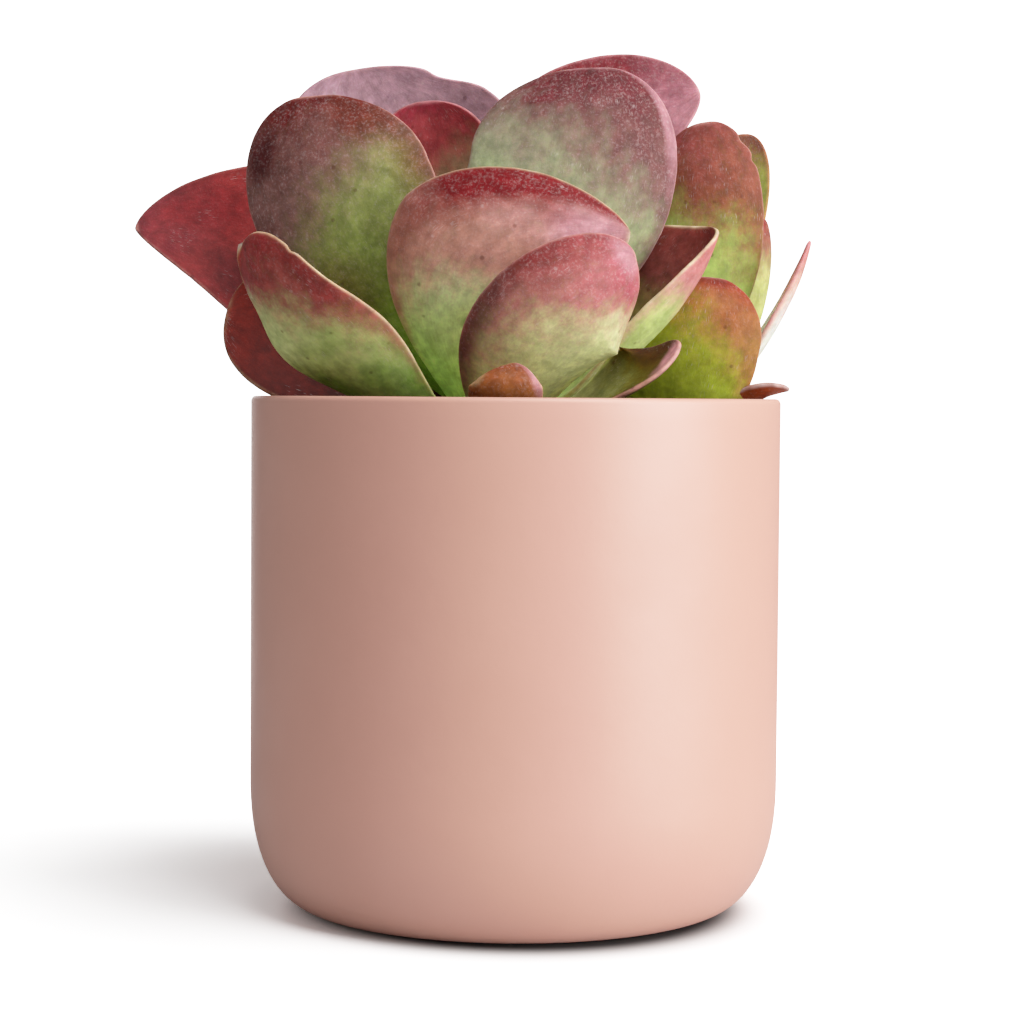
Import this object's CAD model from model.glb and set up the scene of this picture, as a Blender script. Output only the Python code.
import math
import random

import bpy
import numpy as np
from mathutils import Matrix, Vector, noise


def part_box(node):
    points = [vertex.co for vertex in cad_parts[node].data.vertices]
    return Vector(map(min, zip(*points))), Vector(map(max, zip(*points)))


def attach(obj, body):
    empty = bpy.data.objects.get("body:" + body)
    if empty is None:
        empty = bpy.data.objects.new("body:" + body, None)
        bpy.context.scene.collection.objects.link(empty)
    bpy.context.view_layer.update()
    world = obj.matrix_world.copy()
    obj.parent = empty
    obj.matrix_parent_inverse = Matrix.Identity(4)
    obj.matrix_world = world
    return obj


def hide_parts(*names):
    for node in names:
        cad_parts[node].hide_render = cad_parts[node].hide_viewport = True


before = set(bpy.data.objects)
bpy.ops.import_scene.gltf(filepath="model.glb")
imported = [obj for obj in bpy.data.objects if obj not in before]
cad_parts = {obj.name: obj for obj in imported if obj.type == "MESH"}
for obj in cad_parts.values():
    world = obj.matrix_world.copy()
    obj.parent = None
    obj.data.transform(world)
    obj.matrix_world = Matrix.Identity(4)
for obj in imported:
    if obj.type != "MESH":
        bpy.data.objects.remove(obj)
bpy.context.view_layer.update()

# A potted paddle plant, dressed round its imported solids. Its front looks along -Y.
# Blender works in metres; sizes in the dictionaries below are in millimetres, as the plant was measured.
mm = 0.001

pigments = {
    "bloodRed": (112, 18, 22), "ox": (62, 10, 12), "russet": (88, 26, 12), "dustyPink": (200, 130, 140),
    "moss": (70, 110, 20), "freshGreen": (200, 214, 125), "straw": (170, 134, 90),
    "cream": (216, 190, 150), "pinkCream": (206, 140, 130), "paleRose": (206, 146, 150),
    "orange": (176, 100, 66), "petal": (196, 116, 124), "frost": (226, 206, 204), "tan": (150, 116, 92),
    "maroon": (60, 16, 14),
}


def linear(colour, fade=1.0):
    # A pigment by its name, or by its own three values.
    shares = [value / 255 * fade for value in pigments.get(colour, colour)]
    return [share / 12.92 if share <= 0.04045 else ((share + 0.055) / 1.055) ** 2.4 for share in shares]


def unit(rows):
    return rows / np.linalg.norm(rows, axis=-1, keepdims=True)


def roughly(points, size, seed, octaves=3):
    # Soft noise from -1 to 1 at each point, with lumps of about that size.
    shift = Vector((seed * 7.31, seed * 3.17, seed * 5.77))
    values = [noise.fractal(Vector(p) / size + shift, 1.0, 2.0, octaves) for p in points]
    return np.array(values)


def meshPiece(name, points, faces, node):
    mesh = bpy.data.meshes.new(name)
    mesh.from_pydata((np.asarray(points) * mm).tolist(), [], faces)
    mesh.shade_smooth()
    piece = bpy.data.objects.new(name, mesh)
    bpy.context.scene.collection.objects.link(piece)
    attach(piece, "root")
    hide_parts(node)
    return piece


def paint(piece, name, values):
    values = np.asarray(values, dtype=float)
    if values.ndim == 1:
        layer = piece.data.attributes.new(name, "FLOAT", "POINT")
        layer.data.foreach_set("value", values)
    else:
        layer = piece.data.color_attributes.new(name, "FLOAT_COLOR", "POINT")
        opaque = np.concatenate([values, np.ones((len(values), 1))], axis=1)
        layer.data.foreach_set("color", opaque.ravel())


class Finish:
    # A material with its nodes laid out from left to right as they are added.

    def __init__(self, name, **sockets):
        self.material = bpy.data.materials.new(name)
        self.material.use_nodes = True
        self.tree = self.material.node_tree
        self.tree.nodes.clear()
        self.column = 0
        self.shader = self.add("ShaderNodeBsdfPrincipled", **sockets)
        output = self.add("ShaderNodeOutputMaterial")
        self.link(self.shader.outputs["BSDF"], output.inputs["Surface"])

    def add(self, kind, **sockets):
        node = self.tree.nodes.new(kind)
        node.location = (self.column * 190, 0)
        self.column -= 1
        for name, value in sockets.items():
            node.inputs[name.replace("_", " ")].default_value = value
        return node

    def link(self, source, target):
        self.tree.links.new(source, target)

    def attribute(self, name, output="Color"):
        node = self.add("ShaderNodeAttribute")
        node.attribute_name = name
        return node.outputs[output]

    def place(self, stretch=(1, 1, 1), layer=None):
        # Where the texture sits: along the piece's own map, or through its solid.
        mapping = self.add("ShaderNodeMapping")
        mapping.inputs["Scale"].default_value = stretch
        if layer:
            source = self.add("ShaderNodeUVMap")
            source.uv_map = layer
            self.link(source.outputs["UV"], mapping.inputs["Vector"])
        else:
            source = self.add("ShaderNodeTexCoord")
            self.link(source.outputs["Object"], mapping.inputs["Vector"])
        return mapping.outputs["Vector"]

    def grain(self, where, scale, detail=3.0, roughness=0.5):
        node = self.add("ShaderNodeTexNoise", Scale=scale, Detail=detail, Roughness=roughness)
        self.link(where, node.inputs["Vector"])
        return node.outputs["Fac"]

    def cells(self, where, scale, spread=1.0):
        node = self.add("ShaderNodeTexVoronoi", Scale=scale, Randomness=spread)
        self.link(where, node.inputs["Vector"])
        return node

    def between(self, value, low, high, out=(0.0, 1.0)):
        node = self.add("ShaderNodeMapRange")
        node.interpolation_type = "SMOOTHSTEP"
        self.link(value, node.inputs["Value"])
        for name, number in zip(("From Min", "From Max", "To Min", "To Max"), (low, high, *out)):
            node.inputs[name].default_value = number
        return node.outputs["Result"]

    def plus(self, first, second):
        return self.reckon(first, second, "ADD")

    def times(self, first, second):
        return self.reckon(first, second, "MULTIPLY")

    def reckon(self, first, second, operation):
        node = self.add("ShaderNodeMath")
        node.operation = operation
        for value, socket in ((first, node.inputs[0]), (second, node.inputs[1])):
            if isinstance(value, (int, float)):
                socket.default_value = value
            else:
                self.link(value, socket)
        return node.outputs["Value"]

    def mix(self, amount, under, over, blend="MIX"):
        node = self.add("ShaderNodeMix")
        node.data_type = "RGBA"
        node.blend_type = blend
        for value, socket in ((amount, node.inputs[0]), (under, node.inputs[6]), (over, node.inputs[7])):
            if isinstance(value, (int, float)):
                socket.default_value = value
            elif isinstance(value, (tuple, list)):
                socket.default_value = (*value, 1.0) if len(value) == 3 else value
            else:
                self.link(value, socket)
        return node.outputs[2]

    def bump(self, height, distance, strength=1.0, under=None):
        node = self.add("ShaderNodeBump", Distance=distance, Strength=strength)
        self.link(height, node.inputs["Height"])
        if under:
            self.link(under, node.inputs["Normal"])
        return node.outputs["Normal"]

    def colour(self, source):
        self.link(source, self.shader.inputs["Base Color"])

    def roughness(self, source):
        self.link(source, self.shader.inputs["Roughness"])

    def normal(self, source):
        self.link(source, self.shader.inputs["Normal"])


leafFinish = {
    "powder": (0.66, 0.52, 0.54), "powderAmount": 0.06, "powderCut": (0.36, 0.74),
    "powderStreaks": (0.30, 0.72),
    "stipple": (0.78, 0.62, 0.58), "stippleAmount": 0.13, "stippleCut": (0.48, 0.70),
    "grainSize": 0.7, "grainBreak": 0.08, "streakWidth": 0.8, "streakLength": 3.0, "streakDepth": 0.07,
    "blotch": (3.0, 4.6), "blotchBreak": 0.11, "blotchDepth": 0.16, "mottle": 0.22, "mottleDepth": 0.24,
    "patches": 0.08, "patchCut": (0.54, 0.64),
    "scuff": (0.22, 2.6), "scuffAmount": 0.28, "scuffCut": (0.64, 0.74),
    "fleckSpacing": 3.4, "fleckAmount": 0.22, "fleckCut": (0.16, 0.07), "fleckRagged": 0.12,
    "pitSpacing": 7.0, "pitAmount": 0.45, "pitCut": (0.11, 0.05),
    "roughness": (0.46, 0.66), "shine": 0.07, "flesh": 0.20, "fleshDepth": 0.003,
    "streakRelief": 0.0001, "grainRelief": 0.00012,
}


def powderedLeaf():
    look = leafFinish
    finish = Finish(
        "powderedLeaf", Subsurface_Weight=look["flesh"], Subsurface_Scale=look["fleshDepth"],
        Subsurface_Radius=(1.0, 0.6, 0.3), Specular_IOR_Level=look["shine"],
    )
    dusty = finish.attribute("powder", "Fac")

    def alongLeaf(size):
        return finish.place((1 / size[0], 1 / size[1], 1), "blade")

    streaks = finish.grain(alongLeaf((look["streakWidth"], look["streakLength"])), 1.0, 4.0, 0.6)
    blotches = finish.grain(alongLeaf(look["blotch"]), 1.0, 3.0, 0.55)
    solid = finish.place((1 / (look["grainSize"] * mm),) * 3)
    grain = finish.grain(solid, 1.0, 4.0, 0.7)
    mottle = finish.grain(solid, look["mottle"], 3.0, 0.6)

    # The red thins out to the green in soft blotches, with a fine grain in them.
    fine, broad = look["grainBreak"], look["blotchBreak"]
    broken = finish.plus(
        finish.between(grain, 0.3, 0.7, (-fine, fine)), finish.between(blotches, 0.3, 0.7, (-broad, broad))
    )
    flush = finish.between(finish.plus(finish.attribute("flush", "Fac"), broken), 0.0, 1.0)
    skin = finish.mix(flush, finish.attribute("flesh"), finish.attribute("blush"))

    drawnOut = finish.between(streaks, *look["powderStreaks"], (0.35, 1.0))
    powder = finish.times(finish.between(grain, *look["powderCut"]), drawnOut)
    powder = finish.times(finish.times(powder, dusty), look["powderAmount"])
    tone = finish.mix(powder, skin, look["powder"])
    stipple = finish.times(finish.between(grain, *look["stippleCut"]), dusty)
    stipple = finish.times(stipple, look["stippleAmount"])
    tone = finish.mix(stipple, tone, look["stipple"])
    for source, depth in ((streaks, "streakDepth"), (blotches, "blotchDepth"), (mottle, "mottleDepth")):
        shade = finish.between(source, 0.28, 0.72, (1 - look[depth], 1 + look[depth] * 0.7))
        tone = finish.mix(1.0, tone, shade, "MULTIPLY")

    # Pale scuffs and flecks gather in places; dark pits are few.
    chosen = finish.between(finish.grain(solid, look["patches"], 1.0), *look["patchCut"])
    scratch = finish.between(finish.grain(alongLeaf(look["scuff"]), 1.0, 1.0), *look["scuffCut"])
    scratch = finish.times(finish.times(scratch, chosen), look["scuffAmount"])
    tone = finish.mix(scratch, tone, linear("frost"))
    cells = finish.cells(finish.place((1 / (look["fleckSpacing"] * mm),) * 3), 1.0)
    rough = look["fleckRagged"]
    ragged = finish.plus(cells.outputs["Distance"], finish.between(grain, 0.2, 0.8, (-rough, rough)))
    fleck = finish.between(ragged, *look["fleckCut"])
    fleck = finish.times(finish.times(fleck, chosen), finish.times(dusty, look["fleckAmount"]))
    tone = finish.mix(fleck, tone, linear("frost"))
    pits = finish.cells(finish.place((1 / (look["pitSpacing"] * mm),) * 3), 1.0)
    pit = finish.times(finish.between(pits.outputs["Distance"], *look["pitCut"]), look["pitAmount"])
    tone = finish.mix(pit, tone, linear("maroon"))
    finish.colour(tone)
    finish.roughness(finish.between(grain, 0.3, 0.7, look["roughness"]))
    low = finish.bump(streaks, look["streakRelief"], 0.5)
    finish.normal(finish.bump(grain, look["grainRelief"], 0.6, low))
    return finish.material


potFinish = {
    "clay": (204, 144, 127), "deeper": (201, 141, 124), "clouds": 30.0, "roughness": (0.44, 0.50), "ior": 1.6,
    "peel": 160.0, "peelRelief": 0.0002, "speck": 900.0, "speckRelief": 0.00004,
}


def matteGlaze():
    look = potFinish
    finish = Finish("matteGlaze", IOR=look["ior"])
    solid = finish.place()
    cloud = finish.between(finish.grain(solid, look["clouds"], 2.0), 0.3, 0.7)
    finish.colour(finish.mix(cloud, linear(look["clay"]), linear(look["deeper"])))
    finish.roughness(finish.between(cloud, 0.0, 1.0, look["roughness"]))
    peel = finish.bump(finish.grain(solid, look["peel"], 2.0), look["peelRelief"], 0.25)
    finish.normal(finish.bump(finish.grain(solid, look["speck"], 2.0), look["speckRelief"], 0.4, peel))
    return finish.material


compostFinish = {
    "crumb": 500.0, "dark": (0.012, 0.008, 0.005), "light": (0.060, 0.038, 0.024), "relief": 0.0008,
    "roughness": 0.95, "shine": 0.2,
}


def darkCompost():
    look = compostFinish
    finish = Finish("darkCompost", Roughness=look["roughness"], Specular_IOR_Level=look["shine"])
    crumb = finish.grain(finish.place(), look["crumb"], 5.0, 0.7)
    finish.colour(finish.mix(finish.between(crumb, 0.3, 0.7), look["dark"], look["light"]))
    finish.normal(finish.bump(crumb, look["relief"], 0.8))
    return finish.material


# Grit and bark take their colours from the mesh, and a texture shades them.
shadedFinishes = {
    "mixedGrit": {
        "stretch": (1, 1, 1), "scale": 1200.0, "detail": 3.0, "shade": (0.65, 1.1), "relief": 0.0003,
        "roughness": 0.9, "shine": 0.25,
    },
    "corkyStem": {
        "stretch": (1, 1, 0.3), "scale": 700.0, "detail": 4.0, "shade": (0.7, 1.15), "relief": 0.0004,
        "roughness": 0.8, "shine": 0.3,
    },
}


def shadedFinish(name):
    look = shadedFinishes[name]
    finish = Finish(name, Roughness=look["roughness"], Specular_IOR_Level=look["shine"])
    texture = finish.grain(finish.place(look["stretch"]), look["scale"], look["detail"], 0.6)
    shade = finish.between(texture, 0.3, 0.7, look["shade"])
    finish.colour(finish.mix(1.0, finish.attribute("skin"), shade, "MULTIPLY"))
    finish.normal(finish.bump(texture, look["relief"], 0.7))
    return finish.material


# Each leaf: its rib from base through middle to tip, the way its face looks, and half widths left and
# right of the rib, with where each side is widest and how round it is. Pairs are for the left and right.
# cup: how much each half bends up. foot and neck: how wide it starts, and how soon it broadens.
# wave: height, count and start. powder: how dusty it is. ripening: how late the deepest red comes.
# flesh and blush: its greens and its reds, each from low to high. turn: where along it one gives way to
# the other, and a lean across. edge: how red each margin is, and how far in, left then right.
# inside: a colour for the hollow face, and how strong. rim: the pale line at the margin, likewise.
# marks: (along, across, long, wide, pigment, strength). dents: (side, along, depth, length).
leafDefaults = {
    "thick": 3.0, "foot": 0.22, "neck": 1.15, "wave": (0.0, 1, 0), "dents": (), "inside": ((0, 0, 0), 0.0),
    "edge": (0.5, 3.0, 0.5, 3.0), "rim": ("pinkCream", 0.5), "powder": 0.8, "marks": (), "ripening": 1.6,
}
leaves = {
    "leaf_front_centre": {
        "base": (-6, 3, 122), "middle": (-10, -25, 157), "tip": (28, -20, 171), "face": (0.1, 1, 0.3),
        "half": (28.5, 20), "widest": (0.55, 0.5), "round": (1.35, 2), "cup": (0.5, 0.5), "neck": 0.75,
        "flesh": ((206, 244, 136), (238, 248, 182)), "blush": ((186, 126, 106), (180, 112, 116)),
        "turn": (0.42, 0.62, -0.20),
        "edge": (0.8, 2.0, 0.2, 2.0), "rim": ("cream", 0.6), "powder": 1.0,
        "marks": (
            (0.74, -0.86, 0.24, 0.34, "bloodRed", 1.0), (0.88, -0.90, 0.16, 0.24, "bloodRed", 0.9),
            (0.90, -0.15, 0.09, 0.35, "dustyPink", 0.8), (0.83, -0.4, 0.05, 0.15, "bloodRed", 0.4),
            (0.36, 0.12, 0.03, 0.10, "moss", 0.9),
        ),
    },
    "leaf_front_right": {
        "base": (-2, 3, 119), "middle": (6.5, -39, 143), "tip": (29, -36, 163), "face": (-0.2, 1, 0.4),
        "half": (19.5, 20), "widest": (0.5, 0.55), "round": (2, 2.6), "cup": (0.6, 0.6), "foot": 0.4,
        "flesh": ((234, 244, 146), (224, 228, 156)), "blush": ((166, 102, 90), (172, 76, 84)),
        "turn": (0.36, 0.84, -0.32),
        "edge": (0.9, 3.5, 0.2, 1.5), "rim": ("pinkCream", 0.7), "powder": 1.0,
        "marks": (
            (0.50, -0.98, 0.34, 0.26, "maroon", 0.75), (0.80, -0.85, 0.18, 0.4, "bloodRed", 0.6),
            (0.97, -0.35, 0.05, 0.6, "dustyPink", 0.7), (0.92, 0.3, 0.05, 0.5, "bloodRed", 0.25),
        ),
    },
    "leaf_front_left": {
        "base": (-10, 3, 117), "middle": (-45, -31, 141), "tip": (-67, -30, 167), "face": (0.3, 0.7, 0.7),
        "half": (17, 16), "widest": (0.5, 0.5), "round": (2.2, 2.2), "cup": (0.5, 0.5),
        "wave": (1.2, 2, 0.3), "dents": ((1, 0.83, 0.05, 0.015),),
        "flesh": ((88, 153, 11), (195, 197, 129)), "blush": ((146, 76, 66), (134, 34, 36)),
        "turn": (0.5, 0.84, 0.22),
        "edge": (0.3, 1.5, 0.7, 2.5), "rim": ("cream", 0.7), "powder": 0.5,
        "marks": (
            (0.36, -0.6, 0.12, 0.4, "moss", 0.8), (0.70, 0.8, 0.18, 0.25, "bloodRed", 0.6),
        ),
    },
    "leaf_left_tall": {
        "base": (-9, 4, 128), "middle": (-42, -12, 169), "tip": (-52, -4, 206), "face": (0.2, 1, 0.2),
        "half": (24, 27), "widest": (0.62, 0.62), "round": (2.3, 2.3), "cup": (0.5, 0.5),
        "flesh": ((136, 166, 66), (122, 118, 70)), "blush": ((122, 84, 78), (83, 15, 14)),
        "turn": (0.5, 0.78, -0.22),
        "edge": (0.5, 3.0, 0.7, 4.5), "rim": ("pinkCream", 0.9), "powder": 0.9,
        "marks": (
            (0.84, -0.72, 0.07, 0.22, "ox", 0.9), (0.90, 0.62, 0.12, 0.35, "russet", 0.8),
            (0.76, 0.95, 0.2, 0.25, "russet", 0.45), (0.56, 0.9, 0.2, 0.25, "russet", 0.5),
            (0.38, -0.4, 0.1, 0.4, "russet", 0.5),
        ),
    },
    "leaf_right_tall": {
        "base": (-3, 4, 129), "middle": (14, -9, 176), "tip": (19, 0, 214), "face": (0, 1, 0.2),
        "half": (30, 25), "widest": (0.62, 0.62), "round": (2.5, 2.3), "cup": (0.5, 0.5),
        "flesh": ((178, 215, 131), (145, 132, 113)), "blush": ((105, 70, 66), (88, 18, 26)),
        "turn": (0.42, 0.85, 0.18),
        "edge": (0.3, 1.5, 0.6, 3.0), "rim": ("paleRose", 0.8), "powder": 1.0,
        "marks": (
            (0.86, 0.94, 0.2, 0.09, "dustyPink", 0.6), (0.97, 0.1, 0.05, 0.6, "ox", 0.4),
        ),
    },
    "leaf_back_left": {
        "base": (-9, 12, 132), "middle": (-32, 34, 177), "tip": (-44, 30, 217), "face": (0, -1, 0.2),
        "half": (39, 25), "widest": (0.66, 0.7), "round": (2.3, 2.4), "cup": (0.5, 0.5),
        "foot": 0.16, "dents": ((0, 0.93, 0.18, 0.04),),
        "flesh": ((110, 130, 60), (150, 130, 100)), "blush": ((186, 141, 152), (174, 129, 142)),
        "turn": (0.4, 0.75, 0.0),
        "edge": (0.3, 2.0, 0.3, 2.0), "rim": ("paleRose", 0.5), "powder": 1.0,
    },
    "leaf_inner_left": {
        "base": (-9, 11, 140), "middle": (-19, 19, 178), "tip": (-24, 15, 207), "face": (0, -1, 0.2),
        "half": (17, 17), "widest": (0.65, 0.65), "round": (2.3, 2.3), "cup": (0.6, 0.6),
        "flesh": ((120, 120, 60), (170, 130, 100)), "blush": ((178, 72, 70), (134, 33, 46)),
        "turn": (0.55, 0.8, 0.15),
        "edge": (0.4, 2.0, 0.4, 2.0), "rim": ("paleRose", 0.5), "powder": 0.2,
    },
    "leaf_inner_right": {
        "base": (-4, 10, 142), "middle": (8, 15, 170), "tip": (12, 12, 196), "face": (0, -1, 0.2),
        "half": (13, 13), "widest": (0.65, 0.65), "round": (2.3, 2.3), "cup": (0.6, 0.6),
        "flesh": ((120, 130, 60), (150, 140, 90)), "blush": ((150, 70, 66), (96, 18, 26)),
        "turn": (0.4, 0.8, 0.0),
    },
    "leaf_back_right": {
        "base": (-3, 12, 132), "middle": (10, 26, 182), "tip": (48, 23, 211), "face": (0, -1, 0.2),
        "half": (16, 26.5), "widest": (0.6, 0.6), "round": (1.9, 1.75), "cup": (0.5, 0.5), "foot": 0.16,
        "flesh": ((120, 110, 60), (150, 90, 80)), "blush": ((118, 36, 46), (180, 108, 120)),
        "turn": (0.3, 0.6, 0.0),
        "edge": (0.3, 2.0, 0.3, 2.0), "rim": ("paleRose", 0.6), "powder": 1.0,
        "marks": ((0.72, 0.80, 0.26, 0.42, "bloodRed", 0.9), (0.95, -0.6, 0.06, 0.5, "dustyPink", 0.6)),
    },
    "leaf_middle_right": {
        "base": (-3, 8, 130), "middle": (22, 19, 148), "tip": (33, 22, 168), "face": (-0.6, 0, 0.8),
        "half": (12, 12), "widest": (0.6, 0.6), "round": (2.1, 2.1), "cup": (0.7, 0.7),
        "flesh": ((110, 130, 45), (150, 160, 70)), "blush": ((150, 95, 60), (120, 40, 32)),
        "turn": (0.5, 0.95, 0.0),
    },
    "leaf_right_scoop": {
        "base": (-3, 6, 124), "middle": (30, -4, 146), "tip": (45.5, 0, 174), "face": (-0.28, -0.64, 0.71),
        "half": (20, 28), "widest": (0.6, 0.6), "round": (2.2, 2.6), "cup": (1.9, 0.8),
        "flesh": ((150, 172, 96), (196, 216, 118)), "blush": ((202, 122, 118), (184, 76, 76)),
        "turn": (0.58, 0.76, 0.0),
        "inside": ((74, 19, 5), 0.85),
        "edge": (0.5, 3.0, 0.5, 3.0), "rim": ("cream", 0.9), "powder": 0.8,
    },
    "leaf_side_tall": {
        "base": (43, 17, 126), "middle": (50, 11, 166), "tip": (49, 14, 202), "face": (0, 1, 0.2),
        "half": (17, 14.5), "widest": (0.6, 0.6), "round": (2.3, 2.2), "cup": (0.5, 0.5),
        "dents": ((1, 0.92, 0.10, 0.020), (1, 0.85, 0.07, 0.015)),
        "flesh": ((167, 213, 93), (145, 161, 79)), "blush": ((116, 66, 34), (121, 49, 47)),
        "turn": (0.4, 0.75, 0.1),
        "edge": (0.4, 2.5, 0.4, 2.0), "rim": ("pinkCream", 0.8), "powder": 0.4,
    },
    "leaf_side_back": {
        "base": (45, 22, 128), "middle": (57, 30, 170), "tip": (61, 33, 201), "face": (0, -1, 0.2),
        "half": (8, 9), "widest": (0.65, 0.65), "round": (2.3, 2.3), "cup": (0.5, 0.5),
        "flesh": ((130, 150, 60), (140, 148, 62)), "blush": ((122, 79, 49), (102, 55, 42)),
        "turn": (0.7, 1.0, 0.0),
        "edge": (0.5, 1.2, 0.5, 1.2), "rim": ("orange", 0.7), "powder": 0.5,
    },
    "leaf_side_edge": {
        "base": (46, 21, 124), "middle": (62, 25, 150), "tip": (65, 26, 178), "face": (-0.8, 0.5, 0.3),
        "half": (7, 8), "widest": (0.6, 0.6), "round": (2, 2), "cup": (0.5, 0.5),
        "flesh": ((165, 186, 90), (184, 184, 104)), "blush": ((150, 106, 80), (122, 34, 34)),
        "turn": (0.65, 0.9, 0.0),
        "edge": (0.6, 1.5, 0.6, 1.5), "rim": ("orange", 0.6), "powder": 0.5,
    },
    "leaf_side_front": {
        "base": (44, 17, 118), "middle": (48, -2, 142), "tip": (50, 2, 161), "face": (0, 1, 0.3),
        "half": (21, 15), "widest": (0.45, 0.55), "round": (2.2, 2.2), "cup": (0.5, 0.5),
        "foot": 0.85,
        "flesh": ((171, 189, 55), (136, 136, 30)), "blush": ((153, 101, 52), (125, 31, 16)),
        "turn": (0.38, 0.85, 0.35),
        "edge": (0.5, 2.0, 0.7, 4.0), "rim": ("pinkCream", 0.7), "powder": 0.4,
        "marks": ((0.97, 0.0, 0.05, 0.8, "russet", 0.5),),
    },
    "leaf_side_blade": {
        "base": (46, 19, 123), "middle": (64, 11, 145), "tip": (76, 9, 171), "face": (-1, 0.05, 0.4),
        "half": (9, 9), "widest": (0.55, 0.55), "round": (1.8, 1.8), "cup": (0.3, 0.3),
        "flesh": ((238, 238, 167), (238, 238, 238)), "blush": ((237, 174, 151), (191, 92, 90)),
        "turn": (0.55, 0.85, 0.0),
        "edge": (0.6, 1.5, 0.6, 1.5), "rim": ("petal", 0.7), "powder": 0.8,
    },
    "leaf_side_small": {
        "base": (49, 17, 116), "middle": (58.4, 11, 129.2), "tip": (70.5, 5, 132.8), "face": (0, 0.2, 1),
        "half": (6, 6), "widest": (0.6, 0.6), "round": (2, 2), "cup": (0.1, 0.1),
        "flesh": ((119, 42, 21), (142, 47, 23)), "blush": ((156, 66, 24), (120, 48, 24)),
        "turn": (0.45, 0.65, 0.0),
        "edge": (0.4, 1.0, 0.4, 1.0), "rim": ("frost", 0.5), "powder": 0.7,
    },
    "leaf_right_small": {
        "base": (-2, 5, 118), "middle": (24, -27.5, 132), "tip": (33.6, -26.5, 142.5),
        "face": (-0.3, -0.6, 0.7),
        "half": (11, 11), "widest": (0.65, 0.65), "round": (2.6, 2.6), "cup": (0.8, 0.8),
        "flesh": ((180, 177, 116), (91, 98, 20)), "blush": ((86, 78, 12), (48, 13, 1)),
        "turn": (0.3, 0.8, 0.0),
        "edge": (0.5, 1.5, 0.5, 1.2), "rim": ("pinkCream", 0.9), "powder": 0.05,
        "marks": ((0.55, 0.95, 0.4, 0.10, "freshGreen", 0.8), (0.84, -0.85, 0.09, 0.22, "dustyPink", 0.7)),
    },
    "leaf_front_stub": {
        "base": (-5, 2, 117.5), "middle": (-3, -43, 127), "tip": (-3, -47, 137.5), "face": (0, 1, 0.5),
        "half": (9, 9.5), "widest": (0.6, 0.6), "round": (2.4, 2.4), "cup": (0.5, 0.5),
        "flesh": ((110, 70, 30), (140, 76, 30)), "blush": ((154, 96, 45), (113, 39, 19)),
        "turn": (0.3, 0.7, 0.0),
        "edge": (0.2, 1.0, 0.3, 1.5), "rim": ("straw", 0.8), "powder": 0.6,
        "marks": ((0.80, 0.95, 0.2, 0.2, "dustyPink", 0.7), (0.85, -0.9, 0.1, 0.2, "straw", 0.7)),
    },
    "leaf_left_low": {
        "base": (-9, 7, 120), "middle": (-42, 0, 139), "tip": (-74, -5, 150), "face": (0.1, -0.9, 0.4),
        "half": (21, 20), "widest": (0.65, 0.65), "round": (2.2, 2.2), "cup": (0.4, 0.4),
        "flesh": ((41, 19, 4), (41, 8, 4)), "blush": ((48, 7, 4), (82, 14, 6)),
        "turn": (0.3, 0.6, 0.0),
        "edge": (0.3, 2.0, 0.3, 2.0), "rim": ("tan", 0.7), "powder": 0.05,
    },
    "leaf_left_far": {
        "base": (-9, 9, 131), "middle": (-56, 19, 163), "tip": (-99, 9, 173), "face": (0, -0.88, 0.47),
        "half": (30, 26), "widest": (0.5, 0.5), "round": (1.35, 1.4), "cup": (0.4, 0.4),
        "flesh": ((67, 68, 12), (77, 44, 15)), "blush": ((141, 37, 33), (94, 24, 30)),
        "turn": (0.35, 0.62, 0.15),
        "edge": (0.6, 3.0, 0.3, 2.0), "rim": ("pinkCream", 0.5), "powder": 0.15,
        "marks": (
            (0.80, -0.4, 0.12, 0.4, "bloodRed", 0.7), (0.68, 0.5, 0.15, 0.4, "ox", 0.6),
            (1.0, 0.0, 0.02, 0.9, "ox", 0.7),
        ),
    },
    "leaf_rear_left": {
        "base": (-9, 11, 125), "middle": (-44, 36, 148), "tip": (-62, 42, 172), "face": (0.6, -0.55, 0.6),
        "half": (22, 22), "widest": (0.6, 0.6), "round": (2.2, 2.2), "cup": (0.5, 0.5),
        "flesh": ((120, 140, 50), (170, 180, 100)), "blush": ((150, 84, 78), (98, 26, 32)),
        "turn": (0.45, 0.85, 0.0),
    },
    "leaf_rear_centre": {
        "base": (-6, 12, 118), "middle": (-12, 50, 139), "tip": (-12, 60, 167), "face": (0.1, -0.8, 0.5),
        "half": (23, 22), "widest": (0.6, 0.6), "round": (2.2, 2.2), "cup": (0.5, 0.5),
        "flesh": ((130, 150, 55), (185, 190, 110)), "blush": ((160, 92, 84), (110, 34, 42)),
        "turn": (0.5, 0.9, 0.1),
    },
    "leaf_rear_right": {
        "base": (-4, 12, 124), "middle": (19, 44, 150), "tip": (27, 50, 181), "face": (-0.3, -0.75, 0.5),
        "half": (21, 20), "widest": (0.6, 0.6), "round": (2.2, 2.2), "cup": (0.5, 0.5),
        "flesh": ((120, 140, 50), (175, 185, 105)), "blush": ((150, 80, 76), (96, 22, 30)),
        "turn": (0.45, 0.8, -0.1),
    },
    "leaf_rear_low": {
        "base": (-3, 10, 119), "middle": (22, 34, 131), "tip": (29, 46, 146), "face": (-0.5, -0.5, 0.7),
        "half": (14, 14), "widest": (0.6, 0.6), "round": (2.2, 2.2), "cup": (0.5, 0.5),
        "flesh": ((140, 165, 50), (150, 160, 60)), "blush": ((150, 100, 60), (122, 44, 30)),
        "turn": (0.6, 1.0, 0.0),
    },
    "leaf_side_rear": {
        "base": (45, 22, 119), "middle": (53, 36, 139), "tip": (56, 44, 161), "face": (-0.3, -0.8, 0.5),
        "half": (13, 13), "widest": (0.6, 0.6), "round": (2.2, 2.2), "cup": (0.5, 0.5),
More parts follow.
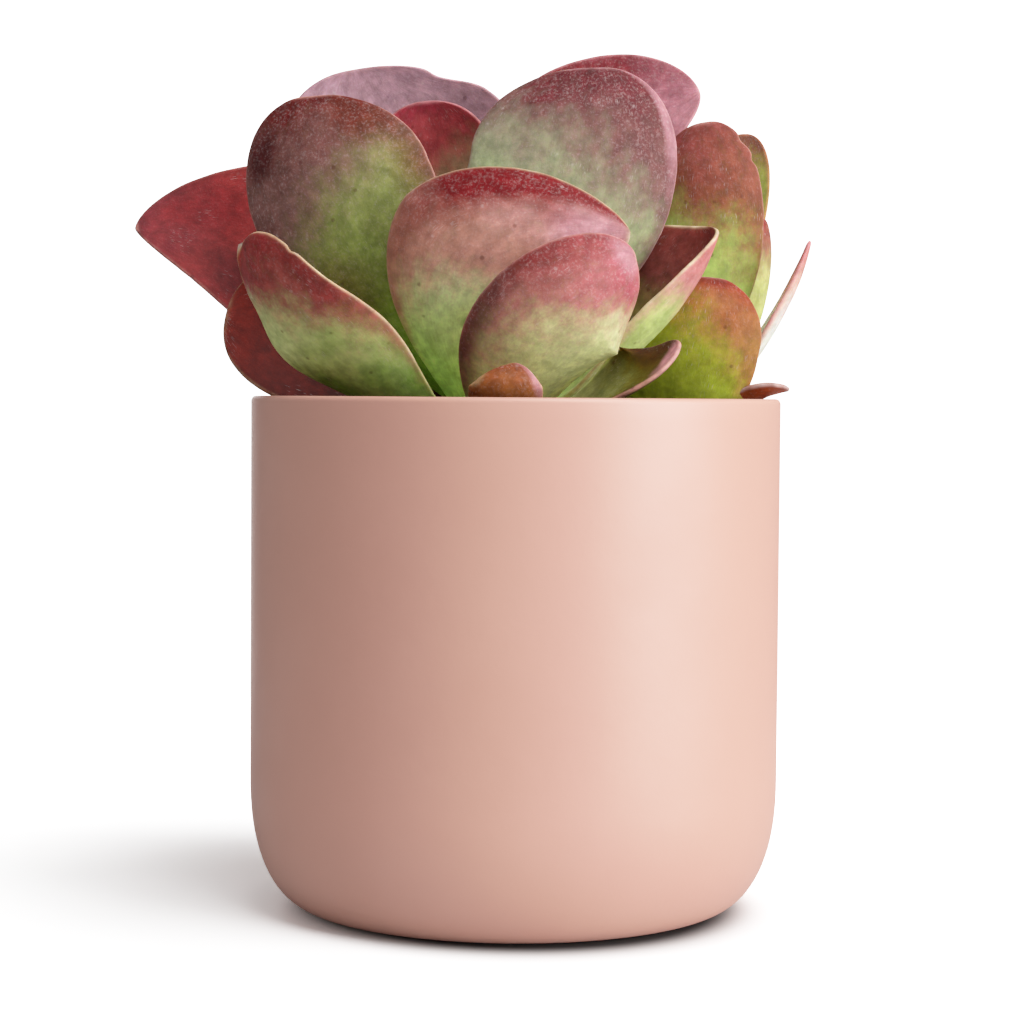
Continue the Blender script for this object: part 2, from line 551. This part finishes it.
        "flesh": ((140, 165, 50), (150, 160, 60)), "blush": ((150, 92, 58), (118, 38, 28)),
        "turn": (0.6, 0.95, 0.0),
    },
}

blade = {
    "rows": 72, "inner": 32, "swell": (1.25, 0.75), "margin": 1.0, "marginPower": 2.2, "tipThinning": 6,
    "gather": 2.0, "wavePower": 2.5, "lumps": (0.30, 13.0), "ripples": (0.07, 3.5), "calmWidth": 15,
    "nibble": 0.010, "nibbles": ((1.0, 9.0, 0), (0.5, 26.0, 3)),
    "innerReach": 0.93, "outer": (0.955, 0.974, 0.987, 0.995, 1.0),
}


def outlineShare(t, widest, rounding, foot, neck):
    away = np.clip((widest - t) / widest, 0, 1)
    low = foot + (1 - foot) * (1 + np.cos(np.pi * away ** neck)) / 2
    fall = np.clip((t - widest) / (1 - widest), 0, 1)
    high = np.clip(1 - fall ** rounding, 0, 1) ** (1 / rounding)
    return np.where(t < widest, low, high)


def acrossPlaces():
    # From the left margin to the right one, closer together at the margins.
    inner = np.linspace(-blade["innerReach"], blade["innerReach"], blade["inner"] + 1)
    outer = np.array(blade["outer"])
    return np.concatenate([-outer[::-1], inner, outer])


def bladeGrid(leaf, seed):
    # Points on the middle sheet of a leaf, the way up from them, and their thickness.
    base, middle, tip = (np.array(leaf[key], dtype=float) for key in ("base", "middle", "tip"))
    knee = 2 * middle - (base + tip) / 2
    t = 1 - (1 - np.linspace(0, 1, blade["rows"] + 1)) ** blade["gather"]
    v = acrossPlaces()
    t, v = (grid.ravel() for grid in np.meshgrid(t, v, indexing="ij"))
    t1 = t[:, None]

    rib = (1 - t1) ** 2 * base + 2 * t1 * (1 - t1) * knee + t1 ** 2 * tip
    along = unit(2 * (1 - t1) * (knee - base) + 2 * t1 * (tip - knee))
    face = np.array(leaf["face"], dtype=float)
    normal = unit(face - along * (along @ face)[:, None])
    side = np.cross(normal, along)

    left = v < 0
    widths = []
    for half in (0, 1):
        share = outlineShare(t, leaf["widest"][half], leaf["round"][half], leaf["foot"], leaf["neck"])
        for where, at, depth, length in leaf["dents"]:
            if where == half:
                share = share * (1 - depth * np.exp(-((t - at) / length) ** 2))
        ragged = 0
        for depth, often, more in blade["nibbles"]:
            bites = [noise.noise(Vector((s * often, half * 4.0, seed + more))) for s in t]
            ragged = ragged + depth * np.array(bites)
        widths.append(leaf["half"][half] * share * (1 + blade["nibble"] * ragged))
    width = np.where(left, widths[0], widths[1])
    radius = np.where(left, leaf["half"][0] / leaf["cup"][0], leaf["half"][1] / leaf["cup"][1])
    angle = np.abs(v) * width / radius
    sign = np.where(left, -1.0, 1.0)
    height, count, start = leaf["wave"]
    wave = height * np.abs(v) ** blade["wavePower"] * np.sin(2 * np.pi * (count * t + start * sign))

    place = rib + side * (sign * radius * np.sin(angle))[:, None]
    lumpHeight, lumpSize = blade["lumps"]
    rippleHeight, rippleSize = blade["ripples"]
    lumps = lumpHeight * roughly(place, lumpSize, seed, 2)
    lumps = lumps + rippleHeight * roughly(place, rippleSize, seed, 2)
    calm = np.clip(t * 3, 0, 1) * min(1.0, leaf["half"][0] / blade["calmWidth"])
    lift = radius * (1 - np.cos(angle)) + wave + lumps * calm
    place = place + normal * lift[:, None]
    up = normal * np.cos(angle)[:, None] - side * (sign * np.sin(angle))[:, None]

    length = np.linalg.norm(middle - base) + np.linalg.norm(tip - middle)
    low, high = blade["swell"]
    thick = leaf["thick"] * (low + (high - low) * t)
    inwards = (1 - np.abs(v) ** blade["marginPower"]) * np.minimum(1, (1 - t) * blade["tipThinning"])
    margin = min(blade["margin"], leaf["thick"] * 0.4)
    thickness = margin + (thick - margin) * inwards
    inset = np.minimum((1 - np.abs(v)) * width, (1 - t) * length * 0.5)
    rounding = np.clip(inset / (margin * 0.6), 0, 1)
    thickness = thickness * np.sqrt(np.clip(1 - (1 - rounding) ** 2, 0, 1))
    return {
        "t": t, "v": v, "place": place, "up": up, "thickness": thickness, "inset": inset, "length": length,
    }


def bladeShape(grid):
    # An upper and a lower sheet that meet at the margin, and a cap on the foot.
    columns = len(acrossPlaces())
    rows = blade["rows"] + 1
    half = grid["up"] * (grid["thickness"] / 2)[:, None]
    points, keys, sheets = [], [], []
    index = np.zeros((2, rows, columns), dtype=int)
    for sheet, sign in ((0, 1), (1, -1)):
        for row in range(rows):
            for column in range(columns):
                flat = row * columns + column
                if row == rows - 1:
                    if sheet or column:
                        index[sheet, row, column] = index[0, row, 0]
                        continue
                elif sheet and column in (0, columns - 1):
                    index[sheet, row, column] = index[0, row, column]
                    continue
                index[sheet, row, column] = len(points)
                points.append(grid["place"][flat] + sign * half[flat])
                keys.append(flat)
                sheets.append(0 if column in (0, columns - 1) else sign)
    faces = []
    for row in range(rows - 1):
        for column in range(columns - 1):
            for sheet in (0, 1):
                corners = [
                    index[sheet, row, column], index[sheet, row, column + 1],
                    index[sheet, row + 1, column + 1], index[sheet, row + 1, column],
                ]
                if row == rows - 2:
                    corners = corners[:3]
                faces.append([int(k) for k in (corners[::-1] if sheet == 0 else corners)])
    foot = [int(k) for k in index[0, 0]] + [int(k) for k in index[1, 0, 1:-1][::-1]]
    faces.append(foot)
    return np.array(points), faces, np.array(keys), np.array(sheets)


skin = {
    "cloudSize": 9.0, "fineSize": 2.6, "fleshDrift": 0.15, "blushDrift": 0.25, "turnDrift": (0.16, 0.08),
    "markDrift": (0.22, 0.12), "markFade": (1.6, 1.15), "rimWidth": 0.40, "rimBreak": (0.75, 0.5),
    "dust": (0.55, 0.45, 0.3), "dustMargin": (1.5, 0.3),
}


def bladeSkin(leaf, grid, points, keys, sheets, seed):
    # Greens, reds, how far the red has come, and how dusty it is, at each point of the leaf.
    t, v = grid["t"][keys], grid["v"][keys]
    inset = grid["inset"][keys]
    cloud = roughly(points, skin["cloudSize"], seed + 11)
    fine = roughly(points, skin["fineSize"], seed + 23, 2)

    def blend(pair, share):
        low, high = (np.array(linear(colour)) for colour in pair)
        return low + (high - low) * np.clip(share, 0, 1)[:, None]

    def tinted(layers, colour, amount):
        colour = np.array(linear(colour))
        return [layer + (colour - layer) * amount[:, None] for layer in layers]

    start, end, lean = leaf["turn"]
    higher = np.clip((t - start) / (1 - start), 0, 1) ** leaf["ripening"]
    layers = [
        blend(leaf["flesh"], t / max(end, 0.3) + skin["fleshDrift"] * cloud),
        blend(leaf["blush"], higher * 1.05 + skin["blushDrift"] * cloud),
    ]
    broad, small = skin["turnDrift"]
    flush = np.clip((t + lean * v - start) / (end - start) + broad * cloud + small * fine, 0, 1)
    leftTint, leftWidth, rightTint, rightWidth = leaf["edge"]
    reach = np.where(v < 0, leftWidth, rightWidth)
    tint = np.where(v < 0, leftTint, rightTint) * np.exp(-(inset / reach) ** 2)
    flush = 1 - (1 - flush) * (1 - tint * np.clip(t * 3 - 0.3, 0, 1))

    broad, small = skin["markDrift"]
    reach, fade = skin["markFade"]
    for at, across, long, wide, name, strength in leaf["marks"]:
        away = np.hypot((t - at) / long, (v - across) / wide) + broad * cloud + small * fine
        layers = tinted(layers, name, strength * np.clip(reach - fade * away, 0, 1))
    colour, strength = leaf["inside"]
    hollow = strength * (sheets > 0)
    layers = tinted(layers, colour, hollow * np.clip(t * 3 - 0.5, 0, 1))
    name, strength = leaf["rim"]
    even, uneven = skin["rimBreak"]
    rim = strength * np.exp(-(inset / skin["rimWidth"]) ** 2) * (even + uneven * fine)
    layers = tinted(layers, name, np.clip(rim * np.clip(t * 4 - 0.4, 0, 1), 0, 1))

    least, higher, uneven = skin["dust"]
    dusty = leaf["powder"] * (1 - hollow) * np.clip(least + higher * t + uneven * cloud, 0, 1)
    margin, kept = skin["dustMargin"]
    dusty = dusty * np.clip(inset / margin + kept, 0, 1)
    return *layers, flush, dusty


def mapBlade(piece, grid, keys, leaf):
    # Millimetres across and along the leaf, so that streaks fan out from its foot.
    layer = piece.data.uv_layers.new(name="blade")
    corners = np.zeros(len(piece.data.loops), dtype=int)
    piece.data.loops.foreach_get("vertex_index", corners)
    wide = np.where(grid["v"] < 0, leaf["half"][0], leaf["half"][1])
    flat = np.stack([grid["v"] * wide, grid["t"] * grid["length"]], axis=1)[keys]
    layer.data.foreach_set("uv", flat[corners].ravel())


def addLeaf(name, leaf, material, seed, node):
    grid = bladeGrid(leaf, seed)
    points, faces, keys, sheets = bladeShape(grid)
    piece = meshPiece(name, points, faces, node)
    flesh, blush, flush, dusty = bladeSkin(leaf, grid, points, keys, sheets, seed)
    paint(piece, "flesh", flesh)
    paint(piece, "blush", blush)
    paint(piece, "flush", flush)
    paint(piece, "powder", dusty)
    mapBlade(piece, grid, keys, leaf)
    piece.data.materials.append(material)


potShape = {
    "wall": 4.5, "floor": 6.0, "cornerWidth": 17.5, "cornerHeight": 33.0, "cornerSquare": 2.25,
    "rimRound": 1.3, "around": 256, "cornerSteps": 26, "rimSteps": 7, "sideSteps": 24, "innerSteps": 6,
}


def potCorner(radius, low, height):
    turns = np.linspace(0, math.pi / 2, potShape["cornerSteps"])
    bend = 2 / potShape["cornerSquare"]
    wide = radius - potShape["cornerWidth"] * (1 - np.sin(turns) ** bend)
    tall = low + height * (1 - np.cos(turns).clip(0) ** bend)
    return list(zip(wide, tall))


def latheFaces(rings, around):
    faces = []
    for ring in range(rings - 1):
        for step in range(around):
            beside = (step + 1) % around
            faces.append([
                ring * around + step, ring * around + beside,
                (ring + 1) * around + beside, (ring + 1) * around + step,
            ])
    faces.append(list(range(around))[::-1])
    faces.append([(rings - 1) * around + step for step in range(around)])
    return faces


def addPot():
    look = potShape
    low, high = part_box("pot")
    radius = (high.x - low.x) / 2 / mm
    tall = high.z / mm
    inner = radius - look["wall"]
    soft = look["rimRound"]
    profile = potCorner(radius, 0, look["cornerHeight"])
    profile += [(radius, z) for z in np.linspace(look["cornerHeight"], tall - soft, look["sideSteps"])[1:-1]]
    for centre, quarter in ((radius - soft, 0), (inner + soft, 1)):
        for step in range(look["rimSteps"]):
            turn = (quarter + step / (look["rimSteps"] - 1)) * math.pi / 2
            profile.append((centre + soft * math.cos(turn), tall - soft + soft * math.sin(turn)))
    profile += [(inner, z) for z in np.linspace(tall - soft, look["cornerHeight"], look["innerSteps"])[1:-1]]
    profile += potCorner(inner, look["floor"], look["cornerHeight"] - look["floor"])[::-1]
    turns = np.linspace(0, 2 * math.pi, look["around"], endpoint=False)
    points = [(r * math.cos(a), r * math.sin(a), z) for r, z in profile for a in turns]
    piece = meshPiece("potBody", points, latheFaces(len(profile), look["around"]), "pot")
    piece.data.materials.append(matteGlaze())


compost = {
    "level": 113.0, "waves": ((0.21, 0.17, 1.3), (0.11, -0.24, 0.0)), "relief": 1.2, "gap": 0.3,
    "centre": 0.004, "rings": 70, "around": 220, "crumbs": (1.1, 5.0), "fine": (0.45, 1.5), "depth": 9.0,
    "grit": 900, "gritSize": (0.5, 1.9), "gritSides": 7, "gritGap": 2.5, "gritDraw": 7,
    "gritColours": ((48, 36, 28), (48, 36, 28), (92, 64, 44), (92, 64, 44), (140, 116, 88), (206, 200, 188)),
}


def soilHeight(x, y, inner):
    fade = 1 - min(1.0, math.hypot(x, y) / inner) ** 4
    rise = sum(math.sin(x * a + y * b + start) for a, b, start in compost["waves"])
    return compost["level"] + compost["relief"] * rise * fade


def addSoil():
    look = compost
    inner = solidRadius("soil") - look["gap"]
    turns = np.linspace(0, 2 * math.pi, look["around"], endpoint=False)
    points = []
    for ring in range(look["rings"] + 1):
        reach = max(look["centre"], math.sin(ring / look["rings"] * math.pi / 2)) * inner
        for turn in turns:
            x, y = reach * math.cos(turn), reach * math.sin(turn)
            points.append((x, y, soilHeight(x, y, inner)))
    points = np.array(points)
    edge = np.clip((inner - np.hypot(points[:, 0], points[:, 1])) / 2, 0, 1)
    for height, size, seed in ((*look["crumbs"], 41), (*look["fine"], 42)):
        points[:, 2] += height * roughly(points, size, seed, 3) * (0.3 + 0.7 * edge)
    bottom = [(inner * math.cos(a), inner * math.sin(a), look["level"] - look["depth"]) for a in turns]
    points = np.concatenate([points, bottom])
    faces = latheFaces(look["rings"] + 2, look["around"])
    piece = meshPiece("soilTop", points, faces, "soil")
    piece.data.materials.append(darkCompost())


def lump(centre, size, draw, sides):
    # A rough little stone or chip: a squashed ball with each point pushed in or out.
    points, faces = [], []
    squash = Vector((draw.uniform(0.7, 1.2), draw.uniform(0.7, 1.2), draw.uniform(0.4, 0.8)))
    turn = Matrix.Rotation(draw.uniform(0, math.pi), 3, "Z")
    turn = turn @ Matrix.Rotation(draw.uniform(-0.5, 0.5), 3, "X")
    levels = 4
    for level in range(levels + 1):
        polar = math.pi * level / levels
        for step in range(sides if 0 < level < levels else 1):
            spin = 2 * math.pi * (step + 0.5 * (level % 2)) / sides
            flat = math.sin(polar)
            way = Vector((flat * math.cos(spin), flat * math.sin(spin), math.cos(polar)))
            away = Vector(w * s for w, s in zip(way, squash)) * size * draw.uniform(0.8, 1.15)
            points.append(tuple(turn @ away + centre))
    for step in range(sides):
        beside = (step + 1) % sides
        faces.append([0, 1 + step, 1 + beside])
        for level in range(levels - 2):
            row = 1 + level * sides
            faces.append([row + step, row + sides + step, row + sides + beside, row + beside])
        last = 1 + (levels - 2) * sides
        faces.append([last + step, len(points) - 1, last + beside])
    return points, faces


def addGrit():
    look = compost
    draw = random.Random(look["gritDraw"])
    inner = solidRadius("soil") - look["gritGap"]
    points, faces, tones = [], [], []
    for _ in range(look["grit"]):
        size = draw.uniform(*look["gritSize"]) * draw.uniform(0.6, 1.0)
        reach, spin = math.sqrt(draw.random()) * inner, draw.uniform(0, 2 * math.pi)
        x, y = reach * math.cos(spin), reach * math.sin(spin)
        centre = Vector((x, y, soilHeight(x, y, inner) + size * draw.uniform(-0.1, 0.45)))
        more, around = lump(centre, size, draw, look["gritSides"])
        faces += [[k + len(points) for k in face] for face in around]
        points += more
        tones += [linear(draw.choice(look["gritColours"]), draw.uniform(0.6, 1.1))] * len(more)
    piece = meshPiece("soilGrit", points, faces, "soil")
    paint(piece, "skin", tones)
    piece.data.materials.append(shadedFinish("mixedGrit"))


def solidRadius(node):
    low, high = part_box(node)
    return (high.x - low.x) / 2 / mm


stems = {
    "stem_main": {"at": (-6, 8), "foot": 100, "top": 152, "radius": 6, "bud": (4, 26, 9)},
    "stem_side": {"at": (44, 20), "foot": 100, "top": 140, "radius": 4, "bud": (4, 20, 7)},
}
stemLook = {
    "taper": 0.45, "around": 48, "rings": 60, "scarSpacing": 6.5, "scarWidth": 0.6, "scarDepth": 0.5,
    "rough": (0.3, 2.0), "slimmer": 0.2, "mottleSize": 3.0,
    "bark": (150, 120, 84), "green": (158, 172, 116),
}
bud = {
    "shrink": 0.35, "width": 0.24, "middleRise": 0.5, "middleReach": 0.9, "tipReach": 0.7, "depth": 4,
    "shape": {
        "widest": (0.6, 0.6), "round": (2, 2), "cup": (0.7, 0.7), "thick": 2.2, "foot": 0.4,
        "flesh": ((120, 145, 60), (170, 186, 112)), "blush": ((176, 110, 100), (130, 44, 50)),
        "turn": (0.4, 0.9, 0.0), "edge": (0.5, 1.0, 0.5, 1.0), "rim": ("pinkCream", 0.5), "powder": 1.0,
    },
}


def addStem(node, stem):
    look = stemLook
    turns = np.linspace(0, 2 * math.pi, look["around"], endpoint=False)
    points = []
    for ring in range(look["rings"] + 1):
        rise = ring / look["rings"]
        z = stem["foot"] + (stem["top"] - stem["foot"]) * rise
        scar = math.exp(-(((z % look["scarSpacing"]) - 1.2) / look["scarWidth"]) ** 2)
        radius = stem["radius"] * (1 - look["taper"] * rise ** 2) - look["scarDepth"] * scar
        for turn in turns:
            x, y = stem["at"][0] + radius * math.cos(turn), stem["at"][1] + radius * math.sin(turn)
            points.append((x, y, z))
    points = np.array(points)
    centre = np.array([*stem["at"], 0.0])
    out = unit((points - centre) * (1, 1, 0))
    depth, size = look["rough"]
    points += out * (depth * roughly(points * (1, 1, 0.4), size, 51) - look["slimmer"])[:, None]
    high = np.clip((points[:, 2] - stem["foot"]) / (stem["top"] - stem["foot"]), 0, 1)
    cork, green = np.array(linear(look["bark"])), np.array(linear(look["green"]))
    tones = cork + (green - cork) * (np.clip(high * 2 - 1, 0, 1))[:, None]
    tones = tones * (0.75 + 0.35 * roughly(points, look["mottleSize"], 52))[:, None]
    piece = meshPiece(node + "Stalk", points, latheFaces(look["rings"] + 1, look["around"]), node)
    paint(piece, "skin", np.clip(tones, 0.01, 1))
    piece.data.materials.append(shadedFinish("corkyStem"))


def addBud(node, stem, material, seed):
    count, length, spread = stem["bud"]
    footZ = stem["top"] - bud["depth"]
    for i in range(count):
        layer = i // 2
        turn = math.pi * (0.25 + i + layer / 2)
        outX, outY = math.cos(turn), math.sin(turn)
        share = 1 - bud["shrink"] * layer
        long, reach = length * share, spread * share
        young = dict(leafDefaults, **bud["shape"])
        for key, away, rise in (
            ("base", 1, 0), ("middle", 1 + reach * bud["middleReach"], long * bud["middleRise"]),
            ("tip", 1 + reach * bud["tipReach"], long),
        ):
            young[key] = (stem["at"][0] + outX * away, stem["at"][1] + outY * away, footZ + rise)
        young["face"] = (-outX, -outY, 0.3)
        young["half"] = (long * bud["width"],) * 2
        addLeaf(f"{node}Bud{i + 1}", young, material, seed + i, node)


view = {
    "place": (-0.8, -648.0, 130.0), "down": 2.6, "turned": 0.401, "lens": 88.77, "sensor": 36, "far": 100,
}


def addCamera():
    lens = bpy.data.cameras.new("view")
    lens.lens = view["lens"]
    lens.sensor_width = view["sensor"]
    lens.clip_end = view["far"]  # in metres
    camera = bpy.data.objects.new("view", lens)
    bpy.context.scene.collection.objects.link(camera)
    aim = Matrix.Rotation(math.radians(90 - view["down"]), 4, "X")
    roll = Matrix.Rotation(math.radians(view["turned"]), 4, "Z")
    camera.matrix_world = Matrix.Translation(Vector(view["place"]) * mm) @ aim @ roll
    bpy.context.scene.camera = camera


studio = {
    "backdrop": 3.0, "ambient": 0.33, "aimHeight": 110,
    "floorReach": 450, "floorSides": 96, "floorSeen": 1.65, "floorFelt": 0.48,
    "contact": (43, 66, 0.02), "contactAt": (5, -12, 0), "paling": (90, 210, 1.7),
    "lamps": {
        "front": {"toward": (-8, 10), "away": 1600, "size": (1200, 700), "watts": 1.8},
        "softbox": {"toward": (50, 60), "away": 1500, "size": (1200, 1200), "watts": 31.0},
        "screen": {"toward": (62, 12), "away": 1200, "size": (900, 800), "watts": 22.5},
        "rim": {"toward": (-161, 10), "away": 1200, "size": (300, 900), "watts": 3.2},
    },
    "film": (
        (0.0, 0.0), (0.1, 0.123), (0.25, 0.274), (0.5, 0.478),
        (1.0, 0.740), (1.5, 0.884), (2.0, 0.963), (2.4, 1.0),
    ),
}


def seenOrFelt(tree, seen, felt):
    # One value for what the camera sees, and another for what lights the plant.
    path = tree.nodes.new("ShaderNodeLightPath")
    share = tree.nodes.new("ShaderNodeMapRange")
    share.inputs["To Min"].default_value = felt
    if isinstance(seen, bpy.types.NodeSocket):
        tree.links.new(seen, share.inputs["To Max"])
    else:
        share.inputs["To Max"].default_value = seen
    tree.links.new(path.outputs["Is Camera Ray"], share.inputs["Value"])
    return share.outputs["Result"]


def floorShade(tree):
    # Dark where the pot meets the floor, and paler away from it, by the distance in millimetres.
    place = tree.nodes.new("ShaderNodeTexCoord")
    away = tree.nodes.new("ShaderNodeVectorMath")
    away.operation = "DISTANCE"
    away.inputs[1].default_value = [part * mm for part in studio["contactAt"]]
    tree.links.new(place.outputs["Object"], away.inputs[0])
    tone = tree.nodes.new("ShaderNodeValue").outputs["Value"]
    tone.default_value = studio["floorSeen"]
    near, far, dark = studio["contact"]
    start, end, pale = studio["paling"]
    for low, high, first, last in ((near, far, dark, 1.0), (start, end, 1.0, pale)):
        share = tree.nodes.new("ShaderNodeMapRange")
        share.interpolation_type = "SMOOTHSTEP"
        tree.links.new(away.outputs["Value"], share.inputs["Value"])
        limits = {"From Min": low * mm, "From Max": high * mm, "To Min": first, "To Max": last}
        for name, value in limits.items():
            share.inputs[name].default_value = value
        both = tree.nodes.new("ShaderNodeMath")
        both.operation = "MULTIPLY"
        tree.links.new(tone, both.inputs[0])
        tree.links.new(share.outputs["Result"], both.inputs[1])
        tone = both.outputs["Value"]
    return tone


def addBackdrop():
    world = bpy.data.worlds.new("studio")
    world.use_nodes = True
    tree = world.node_tree
    tree.nodes.clear()
    air = tree.nodes.new("ShaderNodeBackground")
    air.inputs["Color"].default_value = (1, 1, 1, 1)
    output = tree.nodes.new("ShaderNodeOutputWorld")
    tree.links.new(seenOrFelt(tree, studio["backdrop"], studio["ambient"]), air.inputs["Strength"])
    tree.links.new(air.outputs["Background"], output.inputs["Surface"])
    bpy.context.scene.world = world


def addFloor():
    mesh = bpy.data.meshes.new("floor")
    sides, reach = studio["floorSides"], studio["floorReach"] * mm
    turns = [2 * math.pi * step / sides for step in range(sides)]
    mesh.from_pydata([(reach * math.cos(a), reach * math.sin(a), 0) for a in turns], [], [range(sides)])
    floor = bpy.data.objects.new("floor", mesh)
    bpy.context.scene.collection.objects.link(floor)
    paper = bpy.data.materials.new("paleFloor")
    paper.use_nodes = True
    paper.node_tree.nodes.clear()
    matte = paper.node_tree.nodes.new("ShaderNodeBsdfDiffuse")
    surface = paper.node_tree.nodes.new("ShaderNodeOutputMaterial")
    tone = seenOrFelt(paper.node_tree, floorShade(paper.node_tree), studio["floorFelt"])
    paper.node_tree.links.new(tone, matte.inputs["Color"])
    paper.node_tree.links.new(matte.outputs["BSDF"], surface.inputs["Surface"])
    mesh.materials.append(paper)


def addLamps():
    for name, look in studio["lamps"].items():
        around, high = (math.radians(angle) for angle in look["toward"])
        flat = math.cos(high)
        way = Vector((flat * math.sin(around), -flat * math.cos(around), math.sin(high)))
        light = bpy.data.lights.new(name, "AREA")
        light.shape = "RECTANGLE"
        light.size, light.size_y = (value * mm for value in look["size"])
        light.energy = look["watts"]
        lamp = bpy.data.objects.new(name, light)
        bpy.context.scene.collection.objects.link(lamp)
        lamp.location = (way * look["away"] + Vector((0, 0, studio["aimHeight"]))) * mm
        lamp.rotation_euler = way.to_track_quat("Z", "Y").to_euler()


def setFilm():
    # The film's shoulder: bright pinks pale gently instead of clipping.
    settings = bpy.context.scene.view_settings
    settings.view_transform = "Standard"
    settings.use_curve_mapping = True
    curves = settings.curve_mapping
    top = studio["film"][-1][0]
    curves.white_level = (top,) * 3
    shoulder = curves.curves[3]
    for spot, (light, shown) in enumerate(studio["film"]):
        if spot == 0:
            shoulder.points[0].location = (0, 0)
        elif spot == len(studio["film"]) - 1:
            shoulder.points[-1].location = (1, shown)
        else:
            shoulder.points.new(light / top, shown)
    curves.update()


print("pot")
addPot()
print("soil")
addSoil()
addGrit()
print("stems")
leafSkin = powderedLeaf()
for order, (node, stem) in enumerate(stems.items()):
    addStem(node, stem)
    addBud(node, stem, leafSkin, 60 + order * 10)
print("leaves")
for order, (name, leaf) in enumerate(leaves.items()):
    addLeaf(name + "Blade", dict(leafDefaults, **leaf), leafSkin, order + 1, name)
print("studio")
addCamera()
addBackdrop()
addFloor()
addLamps()
setFilm()

print("done")
